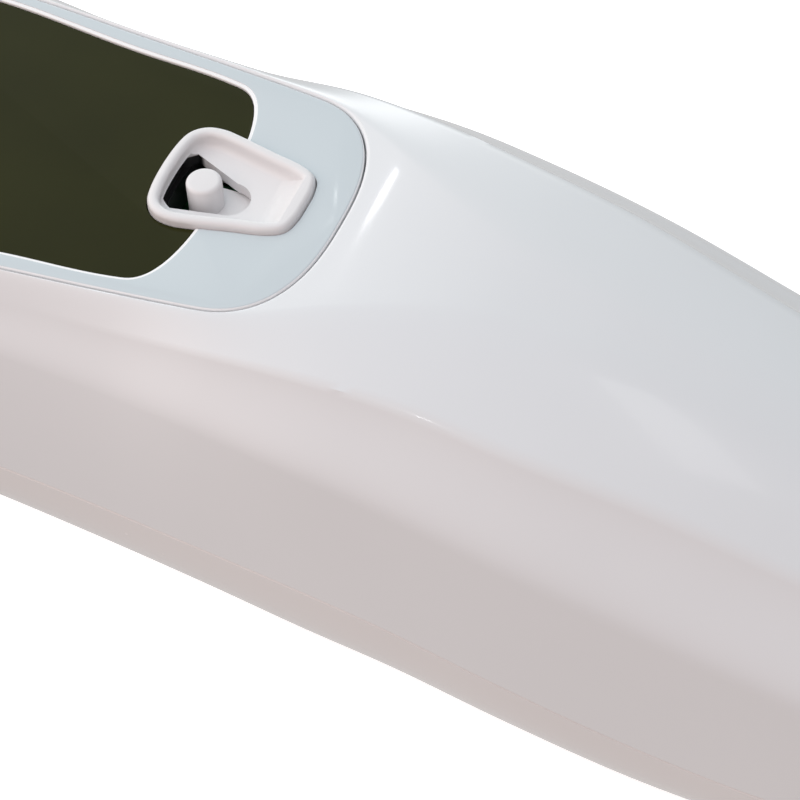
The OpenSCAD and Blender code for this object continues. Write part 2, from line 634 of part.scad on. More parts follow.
upper_shell();
lower_shell();
faceplate();
display_window();
lcd_panel();
lcd_frame();
lcd_backlight();
zebra_strip();
switch_well();
power_slider();
switch_actuator();
slide_switch();
scan_button();
memory_button();
scan_dome();
memory_dome();
main_board();
microcontroller();
board_components();
buzzer();
nose_cone();
probe_barrel();
probe_tip_ring();
probe_window();
waveguide();
sensor_holder();
thermopile_sensor();
sensor_flex();
ejector_ring();
battery_tray();
battery_1();
battery_2();
positive_contact();
negative_contact();
bridge_contact();
battery_door();
battery_door_screw();
shell_screws();
board_screws();
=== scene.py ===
import json
import math

import bmesh
import bpy
import numpy as np
from mathutils import Matrix, Vector


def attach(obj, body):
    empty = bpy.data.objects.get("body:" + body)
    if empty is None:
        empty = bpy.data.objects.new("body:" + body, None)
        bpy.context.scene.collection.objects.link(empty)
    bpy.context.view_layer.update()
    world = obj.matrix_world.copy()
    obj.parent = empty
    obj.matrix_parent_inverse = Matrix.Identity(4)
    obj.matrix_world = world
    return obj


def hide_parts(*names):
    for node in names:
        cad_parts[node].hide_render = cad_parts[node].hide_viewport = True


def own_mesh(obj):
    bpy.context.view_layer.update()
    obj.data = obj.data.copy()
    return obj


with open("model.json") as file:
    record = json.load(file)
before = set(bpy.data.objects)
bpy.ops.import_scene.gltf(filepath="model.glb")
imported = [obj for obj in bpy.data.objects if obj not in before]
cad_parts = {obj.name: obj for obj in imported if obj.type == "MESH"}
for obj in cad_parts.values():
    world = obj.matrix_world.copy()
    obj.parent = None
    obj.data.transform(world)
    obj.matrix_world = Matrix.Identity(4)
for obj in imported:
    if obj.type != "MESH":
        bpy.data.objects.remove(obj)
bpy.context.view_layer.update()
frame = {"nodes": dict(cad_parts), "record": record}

MM = 0.001
TAU = 2 * math.pi

# ---- camera and studio: lengths in metres, angles in degrees ---------------------------

VIEW_AZIMUTH, VIEW_ELEVATION, VIEW_ROLL = 29.2, 47.95, -6.6
VIEW_TARGET, VIEW_DISTANCE = Vector((0.010, 0, 0.031)), 0.350
TURN_RIGHT, TURN_DOWN = 1.3417, 1.3276      # from the target to the middle of the picture
LENS_MM, SENSOR_MM = 203.1, 36


def make_camera():
    data = bpy.data.cameras.new("camera")
    data.sensor_width = SENSOR_MM
    data.lens = LENS_MM
    data.clip_start = 0.01
    data.clip_end = 20
    cam = bpy.data.objects.new("camera", data)
    bpy.context.scene.collection.objects.link(cam)
    az, el, roll = (math.radians(a) for a in (VIEW_AZIMUTH, VIEW_ELEVATION, VIEW_ROLL))
    back = Vector((math.sin(az) * math.cos(el), -math.cos(az) * math.cos(el), math.sin(el)))
    right = Vector((math.cos(az), math.sin(az), 0))
    up = back.cross(right)
    rolled_right = math.cos(roll) * right + math.sin(roll) * up
    rolled_up = -math.sin(roll) * right + math.cos(roll) * up
    turn_x, turn_y = math.radians(TURN_RIGHT), math.radians(TURN_DOWN)
    ahead = (-back + math.tan(turn_x) * rolled_right - math.tan(turn_y) * rolled_up).normalized()
    z = -ahead
    x = rolled_up.cross(z).normalized()
    y = z.cross(x)
    m = Matrix((x, y, z)).transposed().to_4x4()
    m.translation = VIEW_TARGET + back * VIEW_DISTANCE
    cam.matrix_world = m
    bpy.context.scene.camera = cam


# The soft studio: an even light all round, and lobes given by a direction, how tight each is and
# its brightness in red, green and blue. The last one is what a pale table gives back from below.
AMBIENT = (0.225, 0.20, 0.20)
SKY = [((0, 0, 1), 2, (0.095, 0.186, 0.238)),
       ((0, 0.1, 1), 10, (0.283, 0.4, 0.483)),
       ((0, -0.6, 0.8), 4, (0.577, 0.422, 0.349)),
       ((-0.7, 0.55, 0.45), 3, (0.855, 0.924, 0.895)),
       ((0, 0.9, 0.4), 8, (0.16, 0.219, 0.222)),
       ((-0.33, 0.93, 0.12), 50, (2.47, 2.47, 2.47)),
       ((-0.85, -0.3, 0.45), 3, (1.05, 1.01, 1)),
       ((-0.6, -0.7, 0.4), 5, (0.276, 0.144, 0.096)),
       ((0.9, -0.1, 0.4), 3, (0.266, 0.257, 0.266)),
       ((0, 0, -1), 1, (0.57, 0.58, 0.57))]


def make_studio():
    scene = bpy.context.scene
    scene.view_settings.view_transform = "Standard"
    world = bpy.data.worlds.new("studio")
    scene.world = world
    world.use_nodes = True
    t = world.node_tree
    coord = t.nodes.new("ShaderNodeTexCoord").outputs["Generated"]

    def vector_math(operation, a, b=None):
        n = t.nodes.new("ShaderNodeVectorMath")
        n.operation = operation
        for k, v in enumerate((a, b)):
            if hasattr(v, "is_linked"):
                t.links.new(v, n.inputs[k])
            elif v is not None:
                n.inputs[k].default_value = v
        return n

    total = vector_math("ADD", AMBIENT, (0, 0, 0)).outputs[0]
    for direction, tight, colour in SKY:
        dot = vector_math("DOT_PRODUCT", coord, Vector(direction).normalized())
        lit, lobe = (t.nodes.new("ShaderNodeMath") for _ in range(2))
        lit.operation, lobe.operation = "MAXIMUM", "POWER"
        lit.inputs[1].default_value, lobe.inputs[1].default_value = 0, tight
        t.links.new(dot.outputs["Value"], lit.inputs[0])
        t.links.new(lit.outputs[0], lobe.inputs[0])
        tint = vector_math("SCALE", colour)
        t.links.new(lobe.outputs[0], tint.inputs["Scale"])
        total = vector_math("ADD", total, tint.outputs[0]).outputs[0]
    t.links.new(total, t.nodes["Background"].inputs["Color"])


# Three small soft boxes that give the gloss its highlights: the direction in which each stands
# from the casing, its two sides and its power in watts
LAMPS = {"lamp_back": ((-0.262, 0.610, 0.748), (0.02, 0.02), 0.035),
         "lamp_front": ((0.143, -0.465, 0.874), (0.02, 0.02), 0.06),
         "lamp_top": ((0.366, 0.215, 0.905), (0.30, 0.09), 0.10)}
LAMP_TARGET, LAMP_DISTANCE = Vector((0.015, 0, 0.038)), 1.2


def make_lamps():
    for name, (towards, sides, power) in LAMPS.items():
        data = bpy.data.lights.new(name, "AREA")
        data.shape = "RECTANGLE"
        data.size, data.size_y = sides
        data.energy = power
        lamp = bpy.data.objects.new(name, data)
        bpy.context.scene.collection.objects.link(lamp)
        lamp.location = LAMP_TARGET + LAMP_DISTANCE * Vector(towards).normalized()
        lamp.rotation_euler = (LAMP_TARGET - lamp.location).to_track_quat("-Z", "Y").to_euler()


# ---- materials ------------------------------------------------------------------------

BUMP_HEIGHT, SUBSURFACE_DEPTH, PLASTIC_IOR = 0.0001, 0.002, 1.5     # heights in metres


def new_material(name):
    """A new material, its node tree and its shader."""
    m = bpy.data.materials.new(name)
    m.use_nodes = True
    return m, m.node_tree, m.node_tree.nodes["Principled BSDF"]


def noise(t, coord, scale, detail=4, rough=0.5):
    n = t.nodes.new("ShaderNodeTexNoise")
    n.inputs["Scale"].default_value = scale
    n.inputs["Detail"].default_value = detail
    n.inputs["Roughness"].default_value = rough
    t.links.new(coord, n.inputs["Vector"])
    return n.outputs["Fac"]


def ramp_between(t, fac, dark, light, low=0.3, high=0.7):
    r = t.nodes.new("ShaderNodeValToRGB")
    r.color_ramp.elements[0].position = low
    r.color_ramp.elements[1].position = high
    r.color_ramp.elements[0].color = (*dark, 1)
    r.color_ramp.elements[1].color = (*light, 1)
    t.links.new(fac, r.inputs["Fac"])
    return r.outputs["Color"]


def finish_material(name, colour, vary, rough, rough_vary, grain, bump, blotch=45, metal=0,
                    coat=0, coat_rough=0.05, specular=0.5, subsurface=0, brushed=None):
    """A material whose colour, roughness and surface vary: grain is the bump's scale per metre,
    blotch the colour's, and brushed stretches a metal's scratches along an axis."""
    m, t, b = new_material(name)
    coord = t.nodes.new("ShaderNodeTexCoord").outputs["Object"]
    dark = [c * (1 - vary) for c in colour]
    light = [min(1, c * (1 + vary)) for c in colour]
    t.links.new(ramp_between(t, noise(t, coord, blotch, 5), dark, light), b.inputs["Base Color"])
    span = t.nodes.new("ShaderNodeMapRange")
    span.inputs["To Min"].default_value = max(0.01, rough - rough_vary)
    span.inputs["To Max"].default_value = rough + rough_vary
    t.links.new(noise(t, coord, blotch * 5, 6, 0.6), span.inputs["Value"])
    t.links.new(span.outputs["Result"], b.inputs["Roughness"])
    fine = coord
    if brushed:
        stretch = t.nodes.new("ShaderNodeMapping")
        stretch.inputs["Scale"].default_value = brushed
        t.links.new(coord, stretch.inputs["Vector"])
        fine = stretch.outputs["Vector"]
    bumps = t.nodes.new("ShaderNodeBump")
    bumps.inputs["Strength"].default_value = bump
    bumps.inputs["Distance"].default_value = BUMP_HEIGHT
    t.links.new(noise(t, fine, grain, 3), bumps.inputs["Height"])
    t.links.new(bumps.outputs["Normal"], b.inputs["Normal"])
    b.inputs["Metallic"].default_value = metal
    b.inputs["Coat Weight"].default_value = coat
    b.inputs["Coat Roughness"].default_value = coat_rough
    b.inputs["IOR"].default_value = PLASTIC_IOR
    b.inputs["Specular IOR Level"].default_value = specular
    if subsurface:
        b.inputs["Subsurface Weight"].default_value = subsurface
        b.inputs["Subsurface Scale"].default_value = SUBSURFACE_DEPTH
    return m


def object_span(t, axis, start, end):
    """0 before start and 1 after end, in millimetres along an axis of the object."""
    split = t.nodes.new("ShaderNodeSeparateXYZ")
    t.links.new(t.nodes.new("ShaderNodeTexCoord").outputs["Object"], split.inputs[0])
    span = t.nodes.new("ShaderNodeMapRange")
    span.inputs["From Min"].default_value = start * MM
    span.inputs["From Max"].default_value = end * MM
    t.links.new(split.outputs[axis], span.inputs["Value"])
    return span.outputs["Result"]


def paint_light_and_shade(m, other, *spans):
    """Gives the material another colour wherever none of the spans (axis, start, end) is 1: here,
    painted highlight and painted shade.
    """
    t = m.node_tree
    b = t.nodes["Principled BSDF"]
    plain = b.inputs["Base Color"].links[0].from_socket
    own = object_span(t, *spans[0])
    for span in spans[1:]:
        either = t.nodes.new("ShaderNodeMath")
        either.operation = "MAXIMUM"
        t.links.new(own, either.inputs[0])
        t.links.new(object_span(t, *span), either.inputs[1])
        own = either.outputs[0]
    mix = t.nodes.new("ShaderNodeMix")
    mix.data_type = "RGBA"
    first, second = (i for i in mix.inputs if i.type == "RGBA")
    first.default_value = (*other, 1)
    t.links.new(own, mix.inputs["Factor"])
    t.links.new(plain, second)
    t.links.new(next(o for o in mix.outputs if o.type == "RGBA"), b.inputs["Base Color"])


def board_material():
    """Green solder mask over a faint web of copper tracks."""
    m, t, b = new_material("board_green")
    coord = t.nodes.new("ShaderNodeTexCoord").outputs["Object"]
    web = t.nodes.new("ShaderNodeTexBrick")
    web.inputs["Scale"].default_value = 450
    web.inputs["Mortar Size"].default_value = 0.06
    web.inputs["Color1"].default_value = (0.012, 0.11, 0.045, 1)
    web.inputs["Color2"].default_value = (0.016, 0.13, 0.052, 1)
    web.inputs["Mortar"].default_value = (0.05, 0.24, 0.10, 1)
    t.links.new(coord, web.inputs["Vector"])
    t.links.new(web.outputs["Color"], b.inputs["Base Color"])
    bumps = t.nodes.new("ShaderNodeBump")
    t.links.new(web.outputs["Fac"], bumps.inputs["Height"])
    bumps.inputs["Strength"].default_value = 0.3
    bumps.inputs["Distance"].default_value = BUMP_HEIGHT / 2
    t.links.new(bumps.outputs["Normal"], b.inputs["Normal"])
    b.inputs["Roughness"].default_value = 0.32
    b.inputs["Coat Weight"].default_value = 0.4
    return m


# Colour, how far it varies, roughness, how far that varies, the grain's scale per metre and its
# bump, then whatever else the finish has
FINISHES = {
    "casing_gloss": ((0.80, 0.815, 0.835), 0.010, 0.20, 0.04, 1500, 0.010,
                     {"coat": 0.5, "coat_rough": 0.06}),
    "casing_lower": ((0.80, 0.785, 0.785), 0.012, 0.26, 0.04, 1800, 0.014,
                     {"coat": 0.3, "coat_rough": 0.1}),
    "faceplate_grey": ((0.59, 0.655, 0.69), 0.012, 0.24, 0.03, 1600, 0.012,
                       {"coat": 0.3, "coat_rough": 0.08}),
    "window_tint": ((0.025, 0.026, 0.006), 0.12, 0.09, 0.03, 900, 0.010,
                    {"blotch": 70, "specular": 0.10}),
    "switch_white": ((0.80, 0.79, 0.80), 0.012, 0.30, 0.05, 2600, 0.03, {}),
    "button_grey": ((0.36, 0.43, 0.48), 0.02, 0.42, 0.05, 4200, 0.10, {}),
    "lcd_glass": ((0.30, 0.34, 0.27), 0.03, 0.08, 0.02, 1200, 0.01, {"coat": 0.8}),
    "light_guide": ((0.84, 0.87, 0.80), 0.02, 0.4, 0.05, 2500, 0.05, {"subsurface": 0.2}),
    "frame_white": ((0.72, 0.72, 0.71), 0.02, 0.5, 0.06, 4000, 0.1, {}),
    "silicone_grey": ((0.17, 0.18, 0.19), 0.04, 0.6, 0.06, 5000, 0.12, {"subsurface": 0.1}),
    "silicone_pink": ((0.55, 0.15, 0.15), 0.05, 0.6, 0.05, 5000, 0.1, {}),
    "chip_black": ((0.018, 0.018, 0.020), 0.1, 0.5, 0.08, 7000, 0.25, {}),
    "component_tan": ((0.34, 0.22, 0.11), 0.15, 0.45, 0.1, 6000, 0.2, {"blotch": 400}),
    "flex_amber": ((0.55, 0.16, 0.015), 0.08, 0.3, 0.05, 3000, 0.05, {"coat": 0.4}),
    "steel": ((0.62, 0.63, 0.65), 0.06, 0.28, 0.08, 900, 0.08,
              {"metal": 1, "blotch": 300, "brushed": (1, 12, 1)}),
    "contact_nickel": ((0.72, 0.70, 0.64), 0.05, 0.22, 0.08, 900, 0.06,
                       {"metal": 1, "blotch": 300, "brushed": (12, 1, 1)}),
    "gold_plate": ((0.85, 0.60, 0.22), 0.05, 0.2, 0.05, 1500, 0.03, {"metal": 1}),
    "brass_block": ((0.66, 0.47, 0.20), 0.06, 0.3, 0.08, 2500, 0.08, {"metal": 1}),
    "sensor_can": ((0.68, 0.68, 0.70), 0.04, 0.2, 0.05, 1500, 0.03, {"metal": 1}),
    "sensor_window": ((0.05, 0.055, 0.075), 0.1, 0.06, 0.02, 800, 0.005,
                      {"metal": 0.8, "coat": 0.6}),
    "probe_white": ((0.80, 0.81, 0.825), 0.012, 0.25, 0.04, 2000, 0.02, {"coat": 0.2}),
    "ejector_blue_grey": ((0.36, 0.43, 0.48), 0.02, 0.38, 0.05, 4200, 0.08, {}),
    "tray_grey": ((0.045, 0.045, 0.048), 0.08, 0.55, 0.06, 5200, 0.25, {}),
    "cell_wrap": ((0.030, 0.036, 0.046), 0.05, 0.25, 0.04, 1200, 0.02, {"coat": 0.5}),
}
# Painted light: a white that stands for the highlight on the faceplate's edges, and a near-black
# that stands for the shade in the switch slot
PAINTED_EDGE_HIGHLIGHT, PAINTED_SLOT_SHADE = (0.93, 0.93, 0.94), (0.012, 0.012, 0.012)


def make_materials():
    made = {slot: finish_material(slot, *finish, **more)
            for slot, (*finish, more) in FINISHES.items()}
    made["board_green"] = board_material()
    # Painted highlight: the faceplate is grey on its upper face, and its edges below that face are
    # painted white for the highlight on their bevels
    paint_light_and_shade(made["faceplate_grey"], PAINTED_EDGE_HIGHLIGHT, ("Z", TOP_Z - 0.06, TOP_Z - 0.02))
    # Painted shade: below the floor of the well and on the nose side of the post, this white is
    # painted near-black for the shade in the slot, on every piece of this material, the memory key
    # too
    paint_light_and_shade(made["switch_white"], PAINTED_SLOT_SHADE, ("Z", WELL_FLOOR - 0.12, WELL_FLOOR - 0.02),
             ("X", POST_X - 1.9, POST_X - 1.5))
    return made


# ---- the casing's surface: lengths from here on are in millimetres ---------------------

# The casing's sections, as in the CAD model: x, then the height and the half width of the flat
# top, the crease, the band below it and the parting line, then the height of the belly
STATIONS = np.array([
    [-76.5, 40.0, 11.5, 38.3, 14.7, 35.0, 17.8, 28.4, 18.8, 19.5],
    [-60, 40.8, 12.8, 39.1, 15.5, 35.9, 18.0, 27.6, 19.0, 19.6],
    [-40, 41.0, 14.0, 39.7, 15.9, 36.4, 17.9, 26.4, 18.8, 18.4],
    [-20, 41.0, 14.1, 39.7, 15.8, 36.3, 17.6, 25.0, 18.6, 15.8],
    [-7, 41.0, 13.1, 39.0, 14.6, 35.3, 16.9, 23.8, 18.6, 13.4],
    [2, 41.0, 12.4, 39.0, 14.4, 34.6, 17.1, 22.8, 18.8, 11.7],
    [10, 41.0, 11.2, 39.5, 14.4, 34.4, 17.9, 21.8, 19.1, 10.2],
    [17, 41.0, 7.8, 39.2, 13.9, 33.6, 18.4, 20.8, 19.3, 8.5],
    [25, 40.2, 4.0, 38.0, 13.2, 31.9, 18.5, 19.2, 19.4, 7.1],
    [34, 38.2, 2.0, 35.7, 12.8, 29.2, 18.5, 16.4, 19.3, 4.6],
    [45, 34.8, 1.0, 32.3, 11.6, 25.4, 17.9, 12.6, 18.6, 1.6],
    [56, 30.8, 0.5, 28.3, 10.7, 21.5, 17.1, 9.8, 17.7, 0.4],
    [66, 26.9, 0.0, 24.5, 9.9, 18.1, 16.1, 8.8, 16.6, 0.1],
    [76.5, 22.9, 0.0, 20.1, 8.8, 14.9, 14.6, 8.6, 15.6, 0.1]])
NOSE_X, TAIL_X, NOSE_ROUND, TAIL_ROUND = -76.5, 76.5, 16, 15
NOSE_Z, TAIL_Z, ROUND_POWER, BELLY_POWER = 28.4, 8.6, 2.3, 2.8
CREASE_K, CREASE_FLAT, BAND_STEEP, BAND_TURN = 0.34, 0.20, 1.1, 0.3
WALL, GROOVE = 2, 0.12                      # the sheet, and the groove at the parting line
END_RINGS, RINGS = 0.22, 230                # share of the rings in each rounded end, and all

# The top, downwards: the well's rim, the faceplate, the window, the ledge and the deck
RIM_TOP, TOP_Z, WINDOW_Z, PLATE_Z, DECK_Z = 41.55, 41, 40.75, 39.6, 38.2
PLATE_RUN = np.array([[-62, 12], [-50, 13], [-34, 13.8], [-20, 13.9], [-8, 12.95], [0, 12.3],
                      [8, 11.5], [14.6, 10.6]])
WINDOW_RUN = np.array([[-33.4, 12.6], [-20, 12.7], [-8, 11.4], [0, 10.8], [4.6, 10]])

# The power switch: the rim's far side, the post, its travel, and the dish with its ramp and slot
RIM_SIDE = [[-0.55, 0], [-0.4, 2.4], [0.05, 3.9], [1.1, 4.8], [2.5, 5.05], [4.2, 4.8],
            [7.2, 4.15], [9.6, 3.65], [11, 2.9], [11.45, 1.5], [11.5, 0]]
RIM_W, RIM_Y = 0.95, 0.6
POST_X, POST_R, POST_TOP, SLIDE = 3.3, 1.4, 41.6, 2
WELL_FLOOR, FLOOR_UNDER, WELL_UNDER, RAMP_TOP = 40.2, 39.2, 36.2, 41.7
RAMP = [(8.4, WELL_FLOOR), (9.2, 40.45), (9.9, 40.9), (10.6, RAMP_TOP)]
SLOT_LEFT = [(1.4, -2.4), (0.1, -1.6), (0, 0.8), (0.05, 2.6), (1.1, 3.5)]

# The buttons, their flange, and the rubber domes below them, which reach down to the board
SCAN_X, SCAN_R, MEMORY_X, MEMORY_W, MEMORY_L = -50, 7, -38, 4, 8.4
FLANGE_Z, FLANGE_TOP, BUTTON_TOP, BOARD_TOP, PRESS = 37.4, 38.1, 41.8, 34, 0.8
SCAN_DOME_R, MEMORY_DOME_R = 5, 3.6
GAP = 0.3                                   # round whatever moves

# The battery bay's place and slope, and the door in the bay's own axes
BAY_X, BAY_Z, BAY_SLOPE = 19, 16.9, math.radians(11)
DOOR_X, DOOR_L, DOOR_HALF, DOOR_FIT = 1.2, 53.8, 11, 0.2
DOOR_SCREW_X, DOOR_SEAT_Z = 51.3, -4.5

# The probe leans forwards, and the rounded edge of its tip ring touches the table
PROBE_LEAN, PROBE_X = math.radians(25), -49
TIP_Z, TIP_R, TIP_ROUND = -19.7, 2.8, 0.8
PROBE_Z = TIP_R * math.sin(PROBE_LEAN) - TIP_Z * math.cos(PROBE_LEAN) + TIP_ROUND
NECK_HOLE_R = 10.55

# The casing screws: x, y, the height of the head's seat and of the boss's top
SHELL_SCREWS = [(-67.4, 0, 23, 29), (-38, 11.9, 22.6, 27.4), (-38, -11.9, 22.6, 27.4),
                (14.5, 11.7, 14.2, 22), (14.5, -11.7, 14.2, 22)]
BOSS_R, BOSS_FOOT, HEAD_HOLE_R, SCREW_HOLE_R = 3.2, 1.8, 2.5, 1.3


def smooth_at(rows, k, x):
    """The value at x of column k of a table of rows, on a smooth curve through the rows."""
    xs, v = rows[:, 0], rows[:, k]
    s = np.diff(v) / np.diff(xs)
    h = np.diff(xs)
    m = np.concatenate([s[:1], (s[:-1] * h[1:] + s[1:] * h[:-1]) / (h[:-1] + h[1:]), s[-1:]])
    i = min(max(int(np.searchsorted(xs, x, "right")) - 1, 0), len(xs) - 2)
    t = (x - xs[i]) / h[i]
    return ((2*t**3 - 3*t**2 + 1) * v[i] + (t**3 - 2*t**2 + t) * m[i] * h[i]
            + (3*t**2 - 2*t**3) * v[i + 1] + (t**3 - t**2) * m[i + 1] * h[i])


def end_round(d, length, p):
    """How full a shape is at the distance d from an end that is rounded over a length."""
    return 1 if d >= length else max(0, 1 - (1 - d / length) ** p) ** (1 / p)


def section_at(x, t):
    """The values of the section at x, moved inwards by the thickness t."""
    v = [smooth_at(STATIONS, k, x) for k in range(1, 10)]
    shrink = (t, 0.2 * t, 0.85 * t, 0.6 * t, 0.5 * t, 0.9 * t, 0, t, -t)
    v = [a - b for a, b in zip(v, shrink)]
    v[1] = max(0, v[1])
    return v


def ring_x(t):
    """Where the ring at the share t of all rings stands: they crowd towards both ends."""
    if t < END_RINGS:
        return NOSE_X + NOSE_ROUND * (1 - math.cos(math.pi / 2 * t / END_RINGS))
    if t > 1 - END_RINGS:
        return TAIL_X - TAIL_ROUND * (1 - math.cos(math.pi / 2 * (1 - t) / END_RINGS))
    start, end = NOSE_X + NOSE_ROUND, TAIL_X - TAIL_ROUND
    return start + (end - start) * (t - END_RINGS) / (1 - 2 * END_RINGS)


def ring_values(share, t):
    """A ring's x and its section's values, drawn together towards the nose and the tail."""
    x = ring_x(share)
    nose = end_round(x - NOSE_X, NOSE_ROUND, ROUND_POWER)
    full = nose * end_round(TAIL_X - x, TAIL_ROUND, ROUND_POWER)
    z = NOSE_Z if nose < 1 else TAIL_Z
    x *= (TAIL_X - t) / TAIL_X
    return x, [z + (v - z) * full if k % 2 == 0 else v * full
               for k, v in enumerate(section_at(x, t))]


def upper_half(v):
    """Half of the upper section, from the parting line to the middle of the top."""
    zt, wf, zc, wc, zm, wm, zp, wp = v[:8]
    h = zc - zm
    m, c, f = (np.array(p) for p in ((wm, zm), (wc, zc), (wf, zt)))
    lean = 2 * (wm - wp) / (zm - zp)
    m1 = m + np.array([lean, 1]) * BAND_TURN * h
    ease = CREASE_K - CREASE_FLAT * wf / max(wc, 0.01)
    c1 = c + 0.38 * np.array([wm - wc, -BAND_STEEP * h])
    q = np.array([wf + (wc - wf) * ease, zt])
    pts = [np.array([wp + (wm - wp) * t * t, zp + (zm - zp) * t]) for t in np.linspace(0, 1, 13)]
    for t in np.linspace(0, 1, 21)[1:]:
        u = 1 - t
        pts.append(u**3 * m + 3*u*u*t * m1 + 3*u*t*t * c1 + t**3 * c)
    for t in np.linspace(0, 1, 17)[1:]:
        u = 1 - t
        pts.append(u*u * c + 2*u*t * q + t*t * f)
    pts += [np.array([wf * u, zt]) for u in (0.8, 0.6, 0.4, 0.2)]
    return pts


def lower_half(v):
    """Half of the lower section, from the parting line to the middle of the belly."""
    zp, wp, zb = v[6:]
    pts = []
    for a in np.linspace(math.pi / 2, 0, 33)[:-1]:
        pts.append(np.array([wp * math.sin(a) ** (2 / BELLY_POWER),
                             zp - (zp - zb) * math.cos(a) ** (2 / BELLY_POWER)]))
    return pts


def open_section(v, side, groove):
    """The upper (side 1) or lower (side -1) section from edge to edge, with its half of the
    groove at the parting line."""
    half = upper_half(v) if side > 0 else lower_half(v)
    zm, _, zp, wp, zb = v[4:]
    g = min(groove, 0.03 * (zm - zp), 0.03 * (zp - zb), 0.03 * wp)
    second = np.array([wp, zp + side * g]) if groove else (half[0] + half[1]) / 2
    half = [half[0] - np.array([g, 0]), second] + half[1:]
    middle = [(0, v[0] if side > 0 else v[8])]
    return [(-side * p[0], p[1]) for p in half] + middle + [(side * p[0], p[1])
                                                           for p in reversed(half)]


def mesh_of(name, verts, faces):
    """An object of a mesh given in millimetres."""
    mesh = bpy.data.meshes.new(name)
    mesh.from_pydata([tuple(c * MM for c in v) for v in verts], [], faces)
    mesh.validate()
    obj = bpy.data.objects.new(name, mesh)
    bpy.context.scene.collection.objects.link(obj)
    return obj


def casing_sheet(name, side):
    """The upper (side 1) or lower (side -1) half of the casing, as a closed sheet."""
    skins = []
    for t in (0, WALL):
        skins.append([[(x, y, z) for y, z in open_section(v, side, 0 if t else GROOVE)]
                      for x, v in (ring_values(i / RINGS, t) for i in range(1, RINGS))])
    m, count = len(skins[0][0]), RINGS - 1
    b = count * m                           # the inner skin's first point
    verts = [p for skin in skins for ring in skin for p in ring]
    verts += [(NOSE_X, 0, NOSE_Z), (TAIL_X, 0, TAIL_Z), (NOSE_X + WALL, 0, NOSE_Z),
              (TAIL_X - WALL, 0, TAIL_Z)]
    # The ends' middle points: outer nose, outer tail, inner nose and inner tail
    on, ot, inn, it = 2 * b, 2 * b + 1, 2 * b + 2, 2 * b + 3
    faces = []
    for i in range(count - 1):
        for j in range(m - 1):
            a = i * m + j
            faces += [(a, a + m, a + m + 1, a + 1),
                      (b + a, b + a + 1, b + a + m + 1, b + a + m)]
        a, c = i * m, i * m + m - 1
        faces += [(a, b + a, b + a + m, a + m), (c, c + m, b + c + m, b + c)]
    for j in range(m - 1):
        a = (count - 1) * m + j
        faces += [(on, j, j + 1), (inn, b + j + 1, b + j), (a, ot, a + 1), (b + a, b + a + 1, it)]
    faces += [(on, inn, b, 0), (on, m - 1, b + m - 1, inn), (b - m, 2 * b - m, it, ot),
              (b - 1, ot, it, 2 * b - 1)]
    return mesh_of(name, verts, faces)


# ---- building helpers -----------------------------------------------------------------


def grow(pts, g):
    """A clockwise outline, moved outwards by g."""
    p = np.array(pts)
    d = np.roll(p, -1, 0) - np.roll(p, 1, 0)
    n = np.stack([-d[:, 1], d[:, 0]], 1) / np.linalg.norm(d, axis=1)[:, None]
    return p + g * n


def run_outline(run, l0, l1, p, n=110):
    """A symmetric outline of a table (x, half width), rounded over l0 and l1 at its ends."""
    x0, x1 = run[0][0], run[-1][0]
    half = []
    for i in range(n + 1):
        x = (x0 + x1) / 2 - (x1 - x0) / 2 * math.cos(math.pi * i / n)
        half.append((x, smooth_at(run, 1, x) * end_round(x - x0, l0, p) * end_round(x1 - x, l1, p)))
    return np.array(half + [(x, -y) for x, y in half[-2:0:-1]])


def through(pts, n=10):
    """A smooth closed curve through the points."""
    out, c = [], len(pts)
    p = [np.array(q, float) for q in pts]
    for i in range(c):
        a, b, d, e = p[i - 1], p[i], p[(i + 1) % c], p[(i + 2) % c]
        for s in range(n):
            t = s / n
            out.append((2*b + (d - a)*t + (2*a - 5*b + 4*d - e)*t*t + (3*b - a - 3*d + e)*t**3) / 2)
    return np.array(out)


PLATE = run_outline(PLATE_RUN, 12, 7, 2.6)
WINDOW = run_outline(WINDOW_RUN, 3.5, 3.4, 2.6)
RIM = through(RIM_SIDE + [(x, -y) for x, y in RIM_SIDE[-2:0:-1]]) + np.array([0, RIM_Y])


def disc(x, y, r, n=128):
    return np.array([(x - r * math.cos(TAU * i / n), y + r * math.sin(TAU * i / n))
                     for i in range(n)])


def pill_outline(x, length, width, n=40):
    r, h = width / 2, (length - width) / 2
    top = [(x - r * math.cos(math.pi * i / n), h + r * math.sin(math.pi * i / n))
           for i in range(n + 1)]
    return np.array(top + [(2 * x - a, -b) for a, b in top])


SCAN_HOLE = disc(SCAN_X, 0, SCAN_R + GAP)
MEMORY_HOLE = pill_outline(MEMORY_X, MEMORY_L + 2 * GAP, MEMORY_W + 2 * GAP)


def tower(name, outline, levels):
    """A closed solid of one outline, grown by g at each height z of levels (g, z), upwards."""
    n = len(outline)
    verts = [(x, y, z) for g, z in levels for x, y in grow(outline, g)]
    faces = [(k * n + i, k * n + (i + 1) % n, (k + 1) * n + (i + 1) % n, (k + 1) * n + i)
             for k in range(len(levels) - 1) for i in range(n)]
    faces = [tuple(reversed(f)) for f in faces]      # outlines run clockwise
    faces += [tuple(range(n)), tuple(reversed(range((len(levels) - 1) * n, len(levels) * n)))]
    return mesh_of(name, verts, faces)


def rounded(g, z0, z1, r, steps=6):
    """Levels of a solid whose top edge is rounded."""
    arc = [(g - r + r * math.cos(a), z1 - r + r * math.sin(a))
           for a in np.linspace(0, math.pi / 2, steps + 1)]
    return [(g, z0)] + arc


def flared(g, z0, z1, r, above=2, steps=6):
    """Levels of a cutter that leaves a rounded edge at height z1."""
    arc = [(g + r - r * math.cos(a), z1 - r + r * math.sin(a))
           for a in np.linspace(0, math.pi / 2, steps + 1)]
    return [(g, z0)] + arc + [(g + r, z1 + above)]


